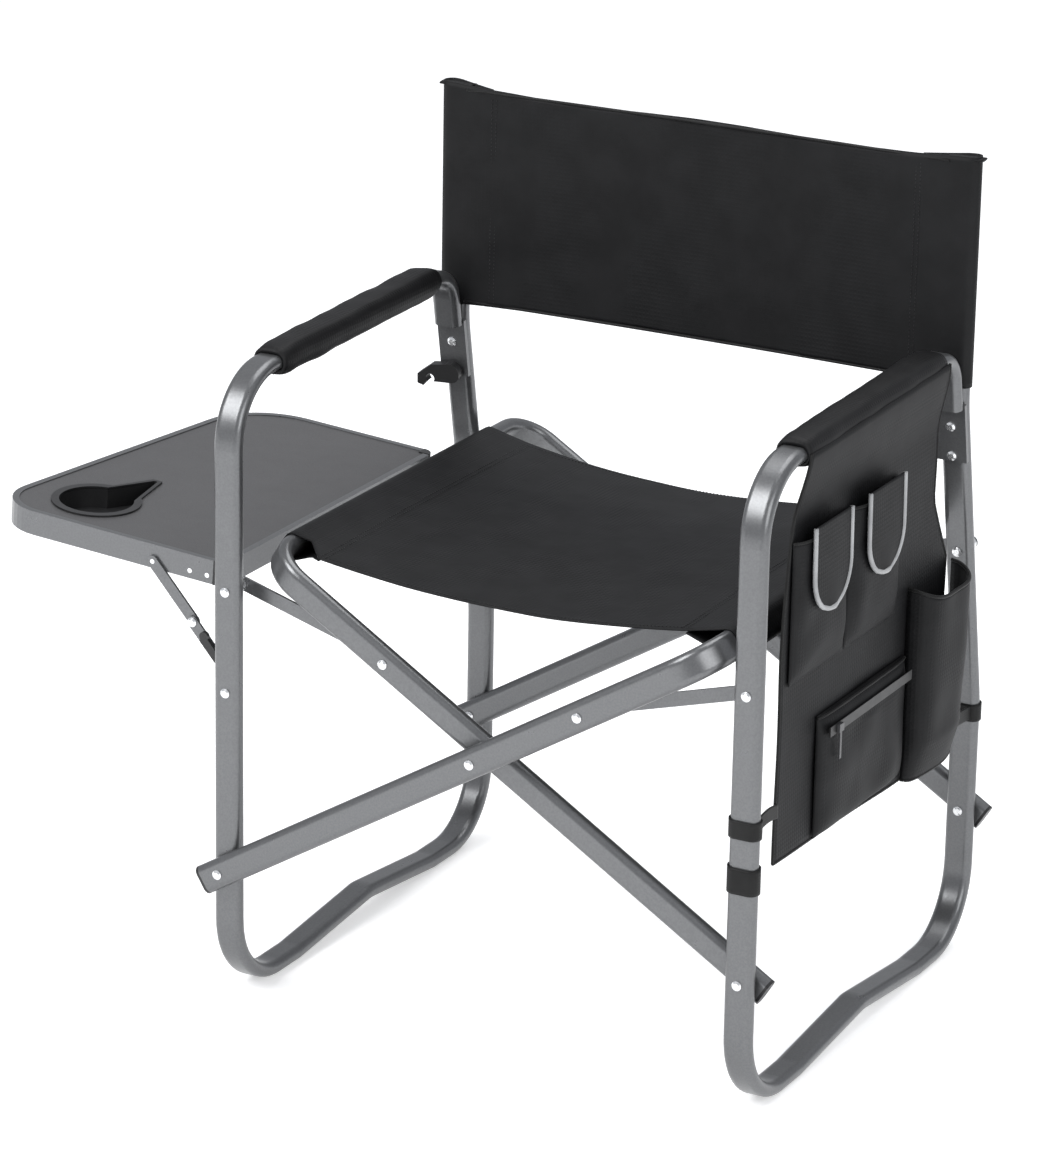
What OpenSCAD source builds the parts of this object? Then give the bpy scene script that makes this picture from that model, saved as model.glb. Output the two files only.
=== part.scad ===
// Folding director-style camp chair with a fold-down side table and a side organizer.
// +X is the sitter's left seen from the front of the chair, +Y points to the back, +Z is up.
// Every piece is drawn in the chair's own frame: x = 0 in the middle, y = 0 at the front legs,
// z = 0 at the floor. place() then moves it so that the origin is under the middle of the whole.

/* [Frame] */
// Distance from the chair's middle to the middle of each side frame
half_width = 284; // [236:1:345]
// Distance from the front leg to the rear leg near the floor
base_depth = 520; // [430:1:630]
// Height of the arm's middle at the front
arm_height = 648; // [620:1:690]
// Height of the arm's middle at the back
arm_height_rear = 657; // [630:1:700]
// Height of the tops of the back posts
post_height = 848; // [790:1:1000]
// How far the back posts stand in front of the rear legs' feet
back_lean = 65; // [40:1:80]
// Height where the rear leg starts to lean forwards
lean_start = 263; // [240:1:280]
// Height where the leaning leg turns upright again
lean_end = 600; // [590:1:610]

/* [Tube] */
// Wide side of the oval tube
tube_wide = 30; // [26:0.5:32]
// Thin side of the oval tube
tube_thin = 15; // [13:0.5:16]
// Wall of the oval tube
tube_wall = 1.3; // [1:0.1:2]
// Bend radius at the floor corners
floor_bend = 78; // [60:1:90]
// Bend radius at the front of the arm
arm_bend = 70; // [50:1:85]
// Height of the runner's middle kink over its ends
runner_rise = 14; // [8:1:20]
// Length of the flat at each end of the runner
runner_flat = 40; // [20:1:60]

/* [Cross frames] */
// Height of the lower pins over the floor
pin_height = 141.5; // [120:1:160]
// Height of the centre pivot over the floor
pivot_height = 315.4; // [290:1:330]
// Distance of each seat rail inside the leg's middle
rail_inset = 34; // [32:1:44]
// Bend radius between a cross bar and its seat rail
rail_bend = 40; // [30:1:50]
// How far a bar runs on past its lower pin
bar_tail = 20; // [14:1:26]
// Gap between a leg and the bar beside it
bar_gap = 1.5; // [1.2:0.1:3]
// Distance of the link rivets from the chair's middle
link_x = 115.4; // [90:1:140]
// Lean of the cross bars when the chair is folded
folded_lean = 80; // [76:1:81]
// Lean of each side frame when the chair is folded
folded_splay = 3; // [2.5:0.1:4]

/* [Fasteners] */
// Shaft radius of every rivet
rivet_r = 2.5; // [2:0.1:3]
// Running clearance around a rivet
run_fit = 0.05; // [0.03:0.01:0.1]
// Head radius of every rivet
head_r = 5; // [4:0.1:6]
// Height of a rivet head
head_h = 2; // [1.5:0.1:2.5]
// Clearance between flat faces that turn on each other
face_gap = 0.1; // [0.05:0.05:0.3]
// Outer radius of washers and spacers
spacer_r = 7; // [5.5:0.1:7.4]

/* [Links and struts] */
// Width of a seat link
link_wide = 14; // [12:0.5:16]
// Thickness of a seat link
link_thick = 3; // [2:0.5:3]
// Width of a table strut
strut_wide = 12; // [10:0.5:14]
// Thickness of a table strut
strut_thick = 2.5; // [2:0.5:3]
// Height of the strut's pivot on the leg
strut_height = 329.3; // [315:1:345]
// Distance of the strut's pivot on the table from the table's hinge
strut_reach = 100; // [95:1:104]

/* [Table] */
// How far the table's inner edge stands outside the leg's middle
table_gap = 18; // [17.5:0.5:22]
// How far the table reaches out from its hinge
table_reach = 292; // [250:1:350]
// Front of the table behind the front leg's middle
table_front = 20; // [20:0.5:24]
// Length of the table from front to back
table_long = 423; // [350:1:430]
// Height of the table's rim
rim_high = 25; // [22:1:30]
// Height of the rim's top over the hinge
rim_top = 17; // [15:0.5:20]
// Wall of the rim
rim_wall = 1.5; // [1:0.1:2]
// Width of the rim's lips
rim_lip = 7; // [5:0.5:9]
// Thickness of the table board
board_thick = 6; // [4:0.5:8]
// Angle by which the table rises outwards
table_tilt = 4; // [0:0.5:6]
// Radius of the front outer corner
corner_front = 50; // [30:1:60]
// Radius of the rear outer corner
corner_rear = 80; // [50:1:90]
// Radius of the inner corners
corner_inner = 12; // [10:1:16]
// How much shorter the table reaches at the back than at the front
reach_loss = 38; // [0:1:50]
// Distance of the cup holder's middle from the hinge
cup_reach = 212; // [190:1:225]
// Distance of the cup holder's middle behind the table's front
cup_back = 68; // [60:1:90]
// Inner radius of the cup holder
cup_r = 38; // [34:0.5:40]
// Width of the cup holder's flange
cup_flange = 8; // [5:0.5:10]
// Wall of the cup holder
cup_wall = 1.5; // [1:0.1:2]

/* [Fabric] */
// Thickness of the seat and back fabric
fabric = 2; // [1.5:0.1:3]
// Clearance between fabric and frame
soft_gap = 0.35; // [0.3:0.05:0.6]
// Sag of the seat in its middle
seat_sag = 24; // [10:1:35]
// Where the seat fabric starts behind the front leg
seat_front = 28; // [20:1:60]
// Length of the seat fabric from front to back
seat_long = 436; // [360:1:440]
// Height of the back fabric
back_high = 236; // [200:1:245]
// How far the back fabric stands over the posts
back_over = 5; // [4:0.5:8]
// Thickness of the arm padding over and under the arm
pad_tall = 6; // [4:0.5:8]
// Thickness of the arm padding beside the arm
pad_side = 3.4; // [2:0.1:3.5]

/* [Organizer] */
// Thickness of the organizer's panel
panel_thick = 3; // [2:0.5:4]
// Place of the panel's inner face outside the leg's middle
panel_out = 6; // [5:0.5:8]
// Front edge of the panel behind the front leg's middle
panel_front = 48; // [44:1:60]
// Height of the panel's lower edge
panel_low = 240; // [220:1:260]
// Depth of the two upper pockets
pocket_deep = 14; // [10:1:20]
// Depth of the zip pocket
zip_deep = 12; // [8:1:16]
// Depth of the bottle pocket
bottle_deep = 32; // [24:1:36]
// Wall of a pocket
pocket_wall = 1.5; // [1:0.1:2]

/* [Hidden] */
$fn = 48;

// Colours
SILVER = [0.66, 0.67, 0.69];
STEEL = [0.80, 0.81, 0.82];
BLACK = [0.06, 0.06, 0.065];
CLOTH = [0.07, 0.07, 0.08];
GREY = [0.45, 0.46, 0.48];
BOARD = [0.28, 0.28, 0.29];

// Frame places
thin_half = tube_thin / 2;
wide_half = tube_wide / 2;
post_y = base_depth - back_lean;
lean_angle = atan2(back_lean, lean_end - lean_start);
function leg_y(z) = base_depth - max(0, min(1, (z - lean_start) / (lean_end - lean_start))) * back_lean;
function leg_front_face(z) = leg_y(z) - thin_half / cos(lean_angle);
function leg_rear_face(z) = leg_y(z) + thin_half / cos(lean_angle);

// Scissor: the cross bars, the links and the height of the links' pivots on the legs
bar_angle = atan2(pivot_height - pin_height, half_width);
bar_to_pivot = half_width / cos(bar_angle);
pivot_to_link = link_x / cos(bar_angle);
pivot_to_rail = (half_width - rail_inset) / cos(bar_angle);
bar_to_link = bar_to_pivot + pivot_to_link;
bar_to_rail = bar_to_pivot + pivot_to_rail;
link_diff = bar_to_pivot - pivot_to_link;
open_x = link_diff * cos(bar_angle);
open_z = bar_to_link * sin(bar_angle);
shut_x = link_diff * cos(folded_lean) * cos(folded_splay)
    + bar_to_link * sin(folded_lean) * sin(folded_splay);
shut_z = bar_to_link * sin(folded_lean) * cos(folded_splay)
    - link_diff * cos(folded_lean) * sin(folded_splay);
link_rise = (shut_x * shut_x + shut_z * shut_z - open_x * open_x - open_z * open_z)
    / (2 * (shut_z - open_z));
hinge_height = pin_height + link_rise;
link_long = norm([open_x, open_z - link_rise]);
link_angle = atan2(open_z - link_rise, open_x);
bar_off = tube_thin + bar_gap;
rail_z = pin_height + bar_to_rail * sin(bar_angle);
rail_x = half_width - rail_inset;

// Depth (y) of each flat piece at the front and at the back
bar_face = bar_off - thin_half;
link_right_front = thin_half + 1;
link_left_front = bar_off + thin_half + 0.6;
link_right_rear = base_depth - bar_off + thin_half + 0.6;
link_left_rear = base_depth + bar_face - 0.6 - link_thick;

// Table: measured from its hinge on the left frame
table_rear = table_front + table_long;
plate_thick = 2;
plate_front = table_front + rim_wall;
plate_rear = table_rear - rim_wall - plate_thick;
rim_base = rim_top - rim_high;
board_top = rim_top - 1;
cup_depth = rim_high - 3;
upper_front = table_front - 0.2 - strut_thick;
lower_front = upper_front - 0.2 - strut_thick;
upper_rear = table_rear + 0.2;
lower_rear = upper_rear + strut_thick + 0.2;
strut_drop = hinge_height - strut_height;
strut_x = strut_reach * cos(table_tilt);
strut_z = strut_reach * sin(table_tilt);
strut_span = norm([strut_x, strut_z + strut_drop]);
strut_rest = abs(strut_drop - strut_reach);
lower_long = (strut_span + strut_rest) / 2;
upper_long = (strut_span - strut_rest) / 2;
strut_angle = atan2(strut_z + strut_drop, -strut_x);
lever_along = lower_long - 20;

// Organizer on the right frame
panel_in = half_width + panel_out;
panel_face = panel_in + panel_thick;
arm_low = arm_height - thin_half - pad_tall - soft_gap;
pad_start = arm_bend + 6;
arm_slope = atan2(arm_height_rear - arm_height, post_y - 15);
panel_top = arm_low - soft_gap;
panel_rear = post_y - 60;
bottle_rear = post_y - 15;
bottle_front = bottle_rear - 105;
bottle_top = 440;
pocket_x = panel_face + soft_gap;
upper_low = 424;
upper_high = 566;
upper_front_y = panel_front + 14;
upper_wide = 120;
zip_low = panel_low + 6;
zip_high = 372;
zip_front = panel_front + 82;
zip_rear = bottle_front - 4;
flap_drop = 92;
flap_wide = 84;
flap_x = pocket_x + pocket_deep + 0.4;
strap_low = 243;
tail_x = (bar_tail + 3) * cos(bar_angle);

// Box of the whole chair, for the place of the origin
x_out = (table_reach * cos(table_tilt)) + half_width;
x_right = max(panel_face + soft_gap + bottle_deep, half_width + tail_x + wide_half * sin(bar_angle));
y_front = -bar_off - thin_half - face_gap - head_h;
y_back = base_depth + bar_off + thin_half + face_gap + head_h;
origin_x = (x_right - x_out) / 2;
origin_y = (y_front + y_back) / 2;

module place() {
    translate([-origin_x, -origin_y, 0]) children();
}

// ---------- shared shapes ----------

// Oval with its wide side along Y
module oval(wide, thin) {
    square([thin, wide - thin], center = true);
    for (s = [-1, 1]) translate([0, s * (wide - thin) / 2]) circle(d = thin);
}

// Section of the tube, with its wall thicker by grow on both faces
module oval_ring(grow) {
    in = 2 * (tube_wall + grow);
    difference() {
        oval(tube_wide + 2 * grow, tube_thin + 2 * grow);
        oval(tube_wide - in, tube_thin - in);
    }
}

function heading(a, b) = atan2(b[1] - a[1], b[0] - a[0]);
function turned(d) = d > 180 ? d - 360 : (d < -180 ? d + 360 : d);
function bend_at(p, i) = turned(heading(p[i], p[i + 1]) - heading(p[i - 1], p[i]));
function cut_at(p, r, i) = (i == 0 || i == len(p) - 1) ? 0 : r[i] * tan(abs(bend_at(p, i)) / 2);

// Tube along a flat path in XY, with one bend radius a point. The section's wide side is along Z.
// The straights run a little way into the wall of the bends, so that all join as one tube.
join_run = 0.4;
join_wall = 0.03;
module bent_tube(path, radii) {
    last = len(path) - 2;
    for (i = [0 : last]) {
        a = heading(path[i], path[i + 1]);
        start = cut_at(path, radii, i) - (i > 0 ? join_run : 0);
        end = cut_at(path, radii, i + 1) - (i < last ? join_run : 0);
        long = norm(path[i + 1] - path[i]) - start - end;
        translate([path[i][0] + start * cos(a), path[i][1] + start * sin(a), 0])
            rotate([0, 0, a + 90]) rotate([90, 0, 0]) linear_extrude(long) oval_ring(0);
    }
    for (i = [1 : len(path) - 2]) {
        a = heading(path[i - 1], path[i]);
        t = bend_at(path, i);
        side = t > 0 ? 1 : -1;
        cut = cut_at(path, radii, i);
        translate([path[i][0] - cut * cos(a) - side * radii[i] * sin(a),
                   path[i][1] - cut * sin(a) + side * radii[i] * cos(a), 0])
            rotate([0, 0, t > 0 ? a - 90 : a + 90 + t])
            rotate_extrude(angle = abs(t)) translate([radii[i], 0]) oval_ring(join_wall);
    }
}

// Rivet along +Y from the plane y = a to the plane y = b, with a dome head outside each
module rivet(x, z, a, b) {
    translate([x, a - face_gap, z]) rotate([-90, 0, 0]) {
        cylinder(r = rivet_r, h = b - a + 2 * face_gap);
        mirror([0, 0, 1]) rivet_head();
        translate([0, 0, b - a + 2 * face_gap]) rivet_head();
    }
}

// Rivet with a head at one end only: at a when side is -1, at b when side is 1
module half_rivet(x, z, a, b, side) {
    low = side < 0 ? a - face_gap : a;
    high = side > 0 ? b + face_gap : b;
    translate([x, low, z]) rotate([-90, 0, 0]) cylinder(r = rivet_r, h = high - low);
    translate([x, side < 0 ? low : high, z]) rotate([side > 0 ? -90 : 90, 0, 0]) rivet_head();
}

module rivet_head() {
    cylinder(r = head_r, h = head_h / 2);
    translate([0, 0, head_h / 2]) cylinder(r1 = head_r, r2 = head_r * 0.55, h = head_h / 2);
}

// Hole for a rivet along Y, through everything between a and b
module rivet_hole(x, z, a, b) {
    translate([x, a, z]) rotate([-90, 0, 0]) cylinder(r = rivet_r + run_fit, h = b - a);
}

// Washer or spacer along Y from a to b
module spacer(x, z, a, b, r = spacer_r) {
    translate([x, a + face_gap, z]) rotate([-90, 0, 0]) difference() {
        cylinder(r = r, h = b - a - 2 * face_gap);
        translate([0, 0, -1]) cylinder(r = rivet_r + run_fit, h = b - a + 2);
    }
}

// Flat bar in XZ from p to q, between the planes y = a and y = a + thick
module flat_bar(p, q, a, wide, thick) {
    long = norm(q - p);
    translate([p[0], a + thick, p[1]]) rotate([0, -heading(p, q), 0]) rotate([90, 0, 0])
        difference() {
            linear_extrude(thick) {
                translate([0, -wide / 2]) square([long, wide]);
                circle(d = wide);
                translate([long, 0]) circle(d = wide);
            }
            for (x = [0, long]) translate([x, 0, -1]) cylinder(r = rivet_r + run_fit, h = thick + 2);
        }
}

// ---------- side frames ----------

// Points (y, z) of the side tube's middle, from the top of the back post round to the arm's rear end
arm_off = tube_thin + 1;
arm_end_top = [post_y - arm_off * cos(lean_angle), lean_end - arm_off * sin(lean_angle)];
arm_corner_z = arm_height_rear;
arm_corner = [arm_end_top[0] - (arm_corner_z - arm_end_top[1]) * tan(lean_angle), arm_corner_z];
tab_thick = 5;
tab_tip = 538;
runner_low = thin_half;
side_path = [
    [post_y, post_height], [post_y, lean_end], [base_depth, lean_start],
    [base_depth, runner_low], [base_depth - floor_bend - runner_flat, runner_low],
    [base_depth / 2 + 5, runner_low + runner_rise],
    [floor_bend + runner_flat, runner_low], [0, runner_low],
    [0, arm_height], arm_corner, arm_end_top
];
side_radii = [0, 150, 150, floor_bend, 60, 60, 60, floor_bend, arm_bend, 35, 0];

// Point at the height z on the face of the flattened arm end
function tab_y(z, off) = post_y + (lean_end - z) * tan(lean_angle) - off / cos(lean_angle);

arm_rivet_heights = [578, 546];
tab_sink = 0.3;
tab_face = thin_half + tab_thick - tab_sink;
tab_mid = tab_face - tab_thick / 2;

// The flattened arm end, along the front of the rear leg
module arm_tab() {
    long = (arm_end_top[1] - tab_tip + 4) / cos(lean_angle);
    translate([0, tab_y(tab_tip, tab_mid), tab_tip]) rotate([lean_angle, 0, 0])
        linear_extrude(long) square([tube_wide + 2, tab_thick], center = true);
}

module arm_rivet_place(z) {
    translate([0, tab_y(z, 0), z]) rotate([lean_angle, 0, 0]) children();
}

module side_tube(x, holes) {
    translate([x, 0, 0]) difference() {
        union() {
            rotate([90, 0, 90]) bent_tube(side_path, side_radii);
            arm_tab();
        }
        for (z = holes) rivet_hole(0, z, -20, 20);
        for (z = holes) rivet_hole(0, z, leg_y(z) - 20, leg_y(z) + 20);
        for (z = arm_rivet_heights) arm_rivet_place(z)
            rivet_hole(0, 0, -tab_face - 2, thin_half + 2);
    }
}

// The two rivets through the arm end and the back post
module arm_rivets(x) {
    for (z = arm_rivet_heights) translate([x, 0, 0]) arm_rivet_place(z)
        rivet(0, 0, -tab_face, thin_half);
}

module post_cap(x) {
    translate([x, post_y, post_height]) {
        linear_extrude(2) rotate(90) oval(tube_wide, tube_thin);
        mirror([0, 0, 1]) linear_extrude(12) rotate(90)
            oval(tube_wide - 2 * tube_wall - 0.1, tube_thin - 2 * tube_wall - 0.1);
    }
}

module arm_sleeve(x) {
    long = arm_corner[0] - 36 - pad_start;
    translate([x, pad_start, arm_height + pad_start * tan(arm_slope)])
        rotate([arm_slope - 90, 0, 0]) linear_extrude(long) rotate(90) difference() {
            oval(tube_wide + 2 * pad_side, tube_thin + 2 * pad_tall);
            oval(tube_wide + 2 * soft_gap, tube_thin + 2 * soft_gap);
        }
}

module left_side_tube() {
    color(SILVER) side_tube(-half_width, [pin_height, strut_height, hinge_height]);
}

module left_post_cap() {
    color(BLACK) post_cap(-half_width);
}

module left_arm_pad() {
    color(CLOTH) arm_sleeve(-half_width);
}

// Rivets that stay with the left frame
module left_frame_rivets() {
    color(STEEL) {
        rivet(-half_width, pin_height, -bar_off - thin_half, thin_half);
        rivet(-half_width, pin_height, base_depth - bar_off - thin_half, base_depth + thin_half);
        rivet(-half_width, hinge_height, -thin_half, link_left_front + link_thick);
        rivet(-half_width, hinge_height, plate_rear, link_left_rear + link_thick);
        half_rivet(-half_width, strut_height, -thin_half, lower_front + strut_thick, -1);
        half_rivet(-half_width, strut_height, lower_rear, leg_rear_face(strut_height - head_r), 1);
        arm_rivets(-half_width);
    }
}

// Washers and spacer tubes on the left frame's rivets
module left_frame_spacers() {
    rear_face = leg_rear_face(hinge_height - spacer_r);
    front_face = leg_front_face(hinge_height + spacer_r);
    color(STEEL) {
        spacer(-half_width, pin_height, -bar_face, -thin_half);
        spacer(-half_width, pin_height, base_depth - bar_face, base_depth - thin_half);
        spacer(-half_width, hinge_height, thin_half, plate_front);
        spacer(-half_width, hinge_height, plate_front + plate_thick, link_left_front);
        spacer(-half_width, hinge_height, plate_rear + plate_thick, front_face);
        spacer(-half_width, hinge_height, rear_face, link_left_rear);
        spacer(-half_width, strut_height, thin_half, lower_front);
        spacer(-half_width, strut_height, lower_rear + strut_thick, leg_front_face(strut_height + spacer_r));
    }
}

module right_side_tube() {
    color(SILVER) side_tube(half_width, [pin_height, hinge_height]);
}

module right_post_cap() {
    color(BLACK) post_cap(half_width);
}

module right_arm_sleeve() {
    color(CLOTH) arm_sleeve(half_width);
}

module right_frame_rivets() {
    color(STEEL) {
        rivet(half_width, pin_height, -thin_half, bar_off + thin_half);
        rivet(half_width, pin_height, base_depth - thin_half, base_depth + bar_off + thin_half);
        rivet(half_width, hinge_height, -thin_half, link_right_front + link_thick);
        rivet(half_width, hinge_height, leg_front_face(hinge_height + head_r),
              link_right_rear + link_thick);
        arm_rivets(half_width);
    }
}

module right_frame_spacers() {
    rear_face = leg_rear_face(hinge_height - spacer_r);
    color(STEEL) {
        spacer(half_width, pin_height, thin_half, bar_face);
        spacer(half_width, pin_height, base_depth + thin_half, base_depth + bar_face);
        spacer(half_width, hinge_height, thin_half, link_right_front);
        spacer(half_width, hinge_height, rear_face, link_right_rear);
    }
}

// ---------- cross frames ----------

// U-shaped frame: front bar, seat rail and rear bar, in the plane of the bar and Y
module cross_frame(y) {
    path = [[-bar_tail, 0], [bar_to_rail, 0], [bar_to_rail, base_depth], [-bar_tail, base_depth]];
    holes = [0, bar_to_pivot, bar_to_link];
    translate([-half_width, y, pin_height]) rotate([0, -bar_angle, 0]) difference() {
        bent_tube(path, [0, rail_bend, rail_bend, 0]);
        for (s = holes) rivet_hole(s, 0, -20, 20);
        for (s = holes) rivet_hole(s, 0, base_depth - 20, base_depth + 20);
    }
}

// Plastic plugs in the lower ends of a cross frame
module bar_end_caps(y) {
    for (back = [0, base_depth]) translate([-half_width, y + back, pin_height])
        rotate([0, -bar_angle, 0]) translate([-bar_tail, 0, 0]) rotate([0, 0, 90]) rotate([90, 0, 0])
        rotate([0, 180, 0]) {
            linear_extrude(3) oval(tube_wide, tube_thin);
            translate([0, 0, -10]) linear_extrude(10)
                oval(tube_wide - 2 * tube_wall - 0.1, tube_thin - 2 * tube_wall - 0.1);
        }
}

module cross_frame_a() {
    color(SILVER) cross_frame(-bar_off);
}

module cross_a_end_caps() {
    color(BLACK) bar_end_caps(-bar_off);
}

module cross_frame_b() {
    color(SILVER) mirror([1, 0, 0]) cross_frame(bar_off);
}

module cross_b_end_caps() {
    color(BLACK) mirror([1, 0, 0]) bar_end_caps(bar_off);
}

module cross_pivot_rivets() {
    color(STEEL) for (back = [0, base_depth])
        rivet(0, pivot_height, back - bar_off - thin_half, back + bar_off + thin_half);
}

module cross_pivot_spacers() {
    color(STEEL) for (back = [0, base_depth])
        spacer(0, pivot_height, back - bar_face, back + bar_face);
}

link_z = pin_height + open_z;

// The cross frame's half of each link rivet, with its spacer
module cross_a_link_rivets() {
    color(STEEL) {
        half_rivet(link_x, link_z, -bar_off - thin_half, link_right_front - face_gap, -1);
        spacer(link_x, link_z, -bar_face, link_right_front);
        half_rivet(link_x, link_z, base_depth - bar_off - thin_half, link_right_rear - face_gap, -1);
        spacer(link_x, link_z, base_depth - bar_face, link_right_rear);
    }
}

module cross_b_link_rivets() {
    color(STEEL) {
        half_rivet(-link_x, link_z, bar_face, link_left_front - face_gap, -1);
        half_rivet(-link_x, link_z, link_left_rear + link_thick + face_gap,
                   base_depth + bar_off + thin_half, 1);
    }
}

// Flat link from a leg to a cross bar, with its own half of the rivet at the bar
module seat_link(side, y, head_side) {
    color(SILVER) flat_bar([side * half_width, hinge_height], [side * link_x, link_z], y,
                           link_wide, link_thick);
    color(STEEL) half_rivet(side * link_x, link_z, y, y + link_thick, head_side);
}

module left_link_front() {
    seat_link(-1, link_left_front, 1);
}

module left_link_rear() {
    seat_link(-1, link_left_rear, -1);
}

module right_link_front() {
    seat_link(1, link_right_front, 1);
}

module right_link_rear() {
    seat_link(1, link_right_rear, 1);
}

// ---------- table ----------

// Table pieces are drawn level, with the hinge on the Y axis, and lean up by the tilt
module on_hinge() {
    translate([-half_width, 0, hinge_height]) rotate([0, table_tilt, 0]) children();
}

c_front = [-table_reach + corner_front, table_front + corner_front];
c_rear = [-table_reach + reach_loss + corner_rear, table_rear - corner_rear];
edge_turn = heading(c_front, c_rear) + acos((corner_front - corner_rear) / norm(c_rear - c_front));

function arc(c, r, from, to) = [for (i = [0 : 10]) c + r * [cos(from + (to - from) * i / 10),
                                                            sin(from + (to - from) * i / 10)]];

// Table outline, drawn in from its edge by inset
function table_points(inset) = concat(
    arc(c_front, corner_front - inset, 270, edge_turn),
    arc(c_rear, corner_rear - inset, edge_turn, 90),
    arc([-table_gap - corner_inner, table_rear - corner_inner], corner_inner - inset, 90, 0),
    arc([-table_gap - corner_inner, table_front + corner_inner], corner_inner - inset, 0, -90));

module table_slab(inset, low, high) {
    translate([0, 0, low]) linear_extrude(high - low) polygon(table_points(inset));
}

cup_at = [-cup_reach, table_front + cup_back];
notch_tip = [16, 84];

// Cup hole with its pointed notch, grown by g
module cup_hole(g) {
    translate(cup_at) {
        circle(r = cup_r + g);
        polygon([[-cup_r * 0.35 - g, cup_r * 0.8], [notch_tip[0] - g, notch_tip[1] + g],
                 [notch_tip[0] + 4 + g, notch_tip[1] + g], [cup_r * 0.85 + g, cup_r * 0.4]]);
    }
}

module corner_blocks(grow) {
    size = 13 + grow;
    for (y = [table_front - 1, table_rear + 1 - size]) translate([-table_gap - size, y, rim_base - 1])
        cube([size + 1, size, rim_high + 2]);
}

module table_rim() {
    color(SILVER) on_hinge() difference() {
        union() {
            difference() {
                table_slab(0, rim_base, rim_top);
                table_slab(rim_wall, rim_base - 1, rim_top + 1);
            }
            for (low = [rim_base, rim_top - 1]) difference() {
                table_slab(0, low, low + 1);
                table_slab(rim_lip, low - 1, low + 2);
            }
        }
        for (y = [table_front, table_rear - 13]) translate([-table_gap - 13.2, y - 0.1, rim_base - 1])
            cube([14, 13.2, rim_high + 2]);
        for (y = [plate_front - 0.2, plate_rear - 0.2]) translate([-table_gap - 20, y, -11])
            cube([30, plate_thick + 0.4, 22]);
        for (x = [-strut_reach, -58, -38]) for (y = [table_front - 5, table_rear - 5])
            rivet_hole(x, 0, y, y + 10);
    }
}

module table_board() {
    color(BOARD) on_hinge() difference() {
        table_slab(rim_wall + 0.2, board_top - board_thick, board_top - 0.05);
        translate([0, 0, board_top - board_thick - 1]) linear_extrude(board_thick + 2) cup_hole(cup_wall + 0.2);
        corner_blocks(0.2);
    }
}

// Plastic corner pieces at the ends of the inner rim, each with a slot for the hinge plate
module table_corner_caps() {
    color(BLACK) on_hinge() difference() {
        intersection() {
            table_slab(-0.1, rim_base - 0.3, rim_top + 0.3);
            corner_blocks(-0.2);
        }
        for (y = [plate_front - 0.2, plate_rear - 0.2]) translate([-table_gap - 20, y, -11])
            cube([30, plate_thick + 0.4, 22]);
    }
}

module cup_holder() {
    color(BLACK) on_hinge() difference() {
        union() {
            translate([0, 0, board_top]) linear_extrude(2) {
                translate(cup_at) circle(r = cup_r + cup_flange);
                cup_hole(cup_wall + 2);
            }
            translate([0, 0, rim_top - cup_depth - cup_wall]) linear_extrude(cup_depth) cup_hole(cup_wall);
        }
        translate([0, 0, rim_top - cup_depth]) linear_extrude(cup_depth + 5) cup_hole(0);
    }
}

// Flat plates inside the rim that carry the table on the legs' rivets
module table_hinge_plates() {
    color(SILVER) on_hinge() for (y = [plate_front, plate_rear]) difference() {
        translate([0, y + plate_thick, 0]) rotate([90, 0, 0]) linear_extrude(plate_thick) {
            translate([-66, -7]) square([66, 14]);
            circle(r = 7);
        }
        for (x = [0, -58, -38]) rivet_hole(x, 0, y - 1, y + plate_thick + 1);
    }
}

// Rivets of the hinge plates, and the pins that the struts turn on
module table_rivets() {
    color(STEEL) on_hinge() {
        for (x = [-58, -38]) {
            half_rivet(x, 0, table_front, plate_front + plate_thick, 1);
            half_rivet(x, 0, plate_rear, table_rear, -1);
        }
        half_rivet(-strut_reach, 0, upper_front, table_front + rim_wall, 1);
        half_rivet(-strut_reach, 0, table_rear - rim_wall, upper_rear + strut_thick, -1);
    }
}

// ---------- table struts ----------

strut_low = [-half_width, strut_height];
strut_mid = strut_low + lower_long * [cos(strut_angle), sin(strut_angle)];
strut_high = [-half_width - strut_x, hinge_height + strut_z];

// Flat bar with one rivet hole at p and a closed round end at q
module strut(p, q, a) {
    long = norm(q - p);
    translate([p[0], a + strut_thick, p[1]]) rotate([0, -heading(p, q), 0]) rotate([90, 0, 0])
        difference() {
            linear_extrude(strut_thick) {
                translate([0, -strut_wide / 2]) square([long, strut_wide]);
                circle(d = strut_wide);
                translate([long, 0]) circle(d = strut_wide);
            }
            translate([0, 0, -1]) cylinder(r = rivet_r + run_fit, h = strut_thick + 2);
        }
}

module upper_strut_front() {
    color(SILVER) strut(strut_high, strut_mid, upper_front);
}

module upper_strut_rear() {
    color(SILVER) strut(strut_high, strut_mid, upper_rear);
}

module lower_strut_front() {
    color(SILVER) flat_bar(strut_low, strut_mid, lower_front, strut_wide, strut_thick);
}

module lower_strut_rear() {
    color(SILVER) flat_bar(strut_low, strut_mid, lower_rear, strut_wide, strut_thick);
}

// Middle rivets of the struts
module strut_rivets() {
    color(STEEL) {
        half_rivet(strut_mid[0], strut_mid[1], lower_front, lower_front + strut_thick, -1);
        half_rivet(strut_mid[0], strut_mid[1], lower_rear, lower_rear + strut_thick, 1);
    }
}

// Thumb lever that locks the front strut straight
module lock_lever() {
    lever = 26;
    color(BLACK) translate([-half_width, lower_front - 0.3, strut_height])
        rotate([0, -strut_angle, 0]) translate([lever_along - 12, 0, 0]) rotate([90, 0, 0]) {
            linear_extrude(4) {
                translate([-lever / 2, -6]) square([lever, 9]);
                translate([-lever / 2, -1.5]) circle(r = 4.5);
                translate([lever / 2, -4]) circle(r = 5);
            }
        }
}

// ---------- catch on the left back post ----------

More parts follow.
